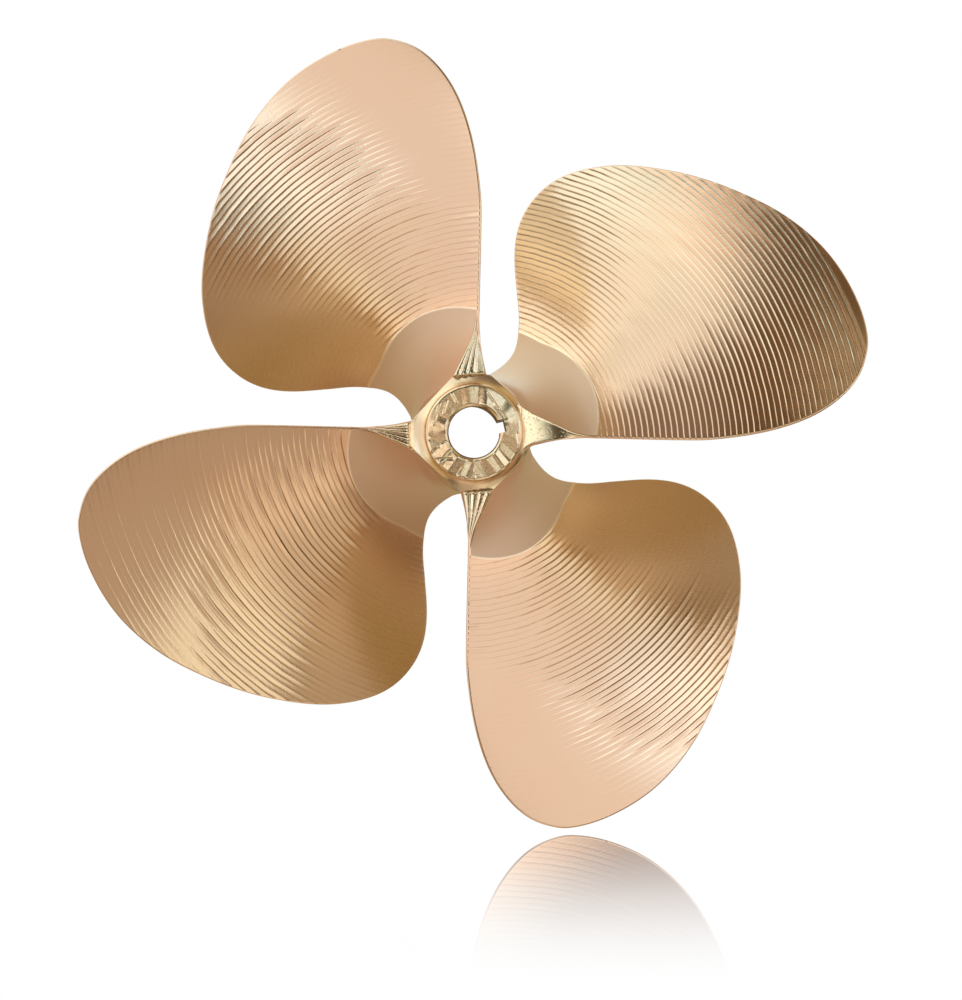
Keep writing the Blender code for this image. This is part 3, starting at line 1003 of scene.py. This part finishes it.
# Soft-edged lights of the studio. Each is a window in the dark: the angle about the shaft from +X of
# its middle and its half width, the angle off straight aft of its middle and its half height, and
# how soft its edges are, all in degrees, and its colour.
AMBIENT = (0.06, 0.05, 0.03)
PANELS = (
    (1, 20, 52, 46, 8, (0.95, 1.02, 1.18)),
    (25, 4, 72, 24, 6, (0.90, 1.10, 1.20)),
    (24, 8, 38, 9, 6, (0.95, 1.00, 1.05)),
    (17, 8, 38, 14, 8, (0.20, 0.50, 0.85)),
    (44, 16, 44, 10, 8, (0.22, 0.17, 0.10)),
    (44, 16, 72, 18, 8, (0.55, 0.48, 0.35)),
    (181, 20, 52, 46, 8, (0.93, 1.00, 1.17)),
    (205, 4, 72, 24, 6, (0.90, 1.10, 1.20)),
    (197, 8, 38, 14, 8, (0.50, 0.95, 1.35)),
    (224, 17, 44, 10, 8, (0.35, 0.27, 0.18)),
    (224, 17, 72, 18, 8, (0.58, 0.53, 0.39)),
    (136, 26, 70, 30, 8, (1.15, 1.40, 1.60)),
    (101, 9, 68, 20, 8, (0.90, 1.10, 1.25)),
    (106, 7, 42, 8, 8, (0.80, 0.70, 0.65)),
    (133, 12, 42, 11, 10, (0.10, 0.45, 0.65)),
    (84, 18, 44, 13, 10, (0.08, 0.05, 0.03)),
    (84, 18, 74, 17, 10, (0.22, 0.18, 0.18)),
    (64, 14, 36, 8, 8, (0.45, 0.48, 0.38)),
    (290, 14, 68, 17, 10, (0.66, 0.67, 0.62)),
    (295, 11, 39, 13, 8, (1.10, 1.30, 1.30)),
    (267, 16, 52, 46, 10, (0.50, 0.46, 0.43)),
    (312, 8, 66, 14, 8, (0.42, 0.34, 0.24)),
    (322, 12, 46, 12, 8, (0.50, 0.46, 0.36)),
    (100, 60, 104, 14, 20, (0.55, 0.48, 0.30)),
    (195, 40, 104, 14, 20, (0.45, 0.32, 0.14)),
    (285, 50, 104, 14, 20, (0.45, 0.30, 0.20)),
    (12, 35, 104, 14, 20, (0.28, 0.20, 0.06)),
    (285, 135, 125, 9, 12, (0.48, 0.52, 0.42)),
    (285, 135, 150, 16, 12, (0.38, 0.36, 0.18)),
    (105, 45, 125, 9, 12, (1.30, 1.75, 1.95)),
    (105, 45, 150, 16, 12, (0.90, 1.30, 1.70)),
    (20, 45, 15, 11, 6, (0.50, 0.70, 0.70)),
    (188, 35, 15, 11, 6, (0.85, 0.85, 0.80)),
    (32, 12, 15, 5, 6, (0.85, 1.10, 1.85)),
    (0, 180, 0, 5, 8, (0.45, 0.25, 0.10)),
)


def window(away, half, soft):
    """One inside the window and zero outside, with a soft edge."""
    return ((half + soft / 2 - away) / soft).clipped()


def light_studio():
    """Broad soft lights round the wheel. The backdrop is white to the camera and in the floor.

    The floor's gloss is tinted, so what it mirrors of the backdrop is made brighter by as much.
    """
    world = bpy.data.worlds.new("studio")
    bpy.context.scene.world = world
    nodes = Nodes(world)
    x, y, z = nodes.split(nodes.add("ShaderNodeTexCoord", None, None, "Generated"))
    about = z.math("ARCTAN2", x) * math.degrees(1)
    off = (y * -1.0).math("ARCCOSINE") * math.degrees(1)
    total = nodes.add("ShaderNodeCombineXYZ", None, dict(enumerate(AMBIENT)))
    for middle, half, height, half_height, soft, colour in PANELS:
        aside = (about - middle).math("WRAP", 180.0, -180.0).math("ABSOLUTE")
        away = (off - height).math("ABSOLUTE")
        glow = window(aside, half, soft) * window(away, half_height, soft)
        tint = nodes.add("ShaderNodeCombineXYZ", None, dict(enumerate(colour)))
        part = nodes.add("ShaderNodeVectorMath", {"operation": "SCALE"}, {0: tint, "Scale": glow})
        total = nodes.add("ShaderNodeVectorMath", {"operation": "ADD"}, {0: total, 1: part})
    seen = nodes.add("ShaderNodeLightPath", None, None, "Is Camera Ray")
    mirrored = nodes.add("ShaderNodeLightPath", None, None, "Is Singular Ray")
    in_floor = tuple(1 / share for share in FLOOR_TINT) + (1.0,)
    colour = nodes.blend(mirrored, nodes.blend(seen, total, WHITE), in_floor)
    background = nodes.add("ShaderNodeBackground", None, {"Color": colour, "Strength": 1.0})
    nodes.add("ShaderNodeOutputWorld", None, {"Surface": background})


def lay_floor():
    """A plain white floor just under the lowest blade. Its polish fades out round the wheel."""
    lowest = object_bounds()[0][2]
    pick_nothing()
    bpy.ops.mesh.primitive_plane_add(size=FLOOR_SIZE, location=(0, 0, lowest - FLOOR_GAP))
    floor = bpy.context.object
    floor.name = "floor"
    bpy.ops.object.transform_apply()
    material, nodes = new_material("white floor")
    x, y, _ = nodes.split(nodes.add("ShaderNodeTexCoord", None, None, "Object"))
    across, along = x - POLISH_MIDDLE[0], y - POLISH_MIDDLE[1]
    away = ((across * across + along * along).math("SQRT") / POLISH_RADIUS).clipped()
    fade = 1.0 - away * away * (3.0 - away * 2.0)
    polish = fade * POLISH * ((x - POLISH_START) / POLISH_BORDER).clipped()
    white = nodes.add("ShaderNodeEmission", None, {"Color": WHITE, "Strength": 1.0})
    gloss = nodes.add("ShaderNodeBsdfGlossy", None, {"Color": (*FLOOR_TINT, 1.0), "Roughness": 0.0})
    surface = nodes.add("ShaderNodeMixShader", None, {0: polish, 1: white, 2: gloss})
    nodes.add("ShaderNodeOutputMaterial", None, {"Surface": surface})
    floor.data.materials.append(material)
    floor.visible_glossy = False
    floor.visible_diffuse = False


def set_camera():
    """Near the shaft's axis, looking forward, framed so that the hub falls where the photo has it."""
    camera = bpy.data.objects.new("camera", bpy.data.cameras.new("camera"))
    bpy.context.scene.collection.objects.link(camera)
    camera.location = CAMERA_PLACE
    camera.rotation_euler = (math.pi / 2, 0, 0)
    camera.data.lens = LENS_MM
    camera.data.sensor_width = SENSOR_MM
    width, height = PHOTO_SIZE
    enlargement = LENS_MM / SENSOR_MM / (-HUB_LENGTH - CAMERA_PLACE[1])
    camera.data.shift_x = (width / 2 - HUB_IN_PHOTO[0]) / height - CAMERA_PLACE[0] * enlargement
    camera.data.shift_y = (HUB_IN_PHOTO[1] - height / 2) / height - CAMERA_PLACE[2] * enlargement
    bpy.context.scene.camera = camera


def main():
    set_camera()
    hub = add_hub()
    finish_hub(hub)
    cut_keyway(hub)
    milled, turned = milled_bronze(), turned_bronze()
    dress(hub, turned)
    for number in range(1, BLADES + 1):
        dress(add_blade(number), milled)
    lay_floor()
    light_studio()
    bpy.context.scene.view_settings.view_transform = "Standard"


main()
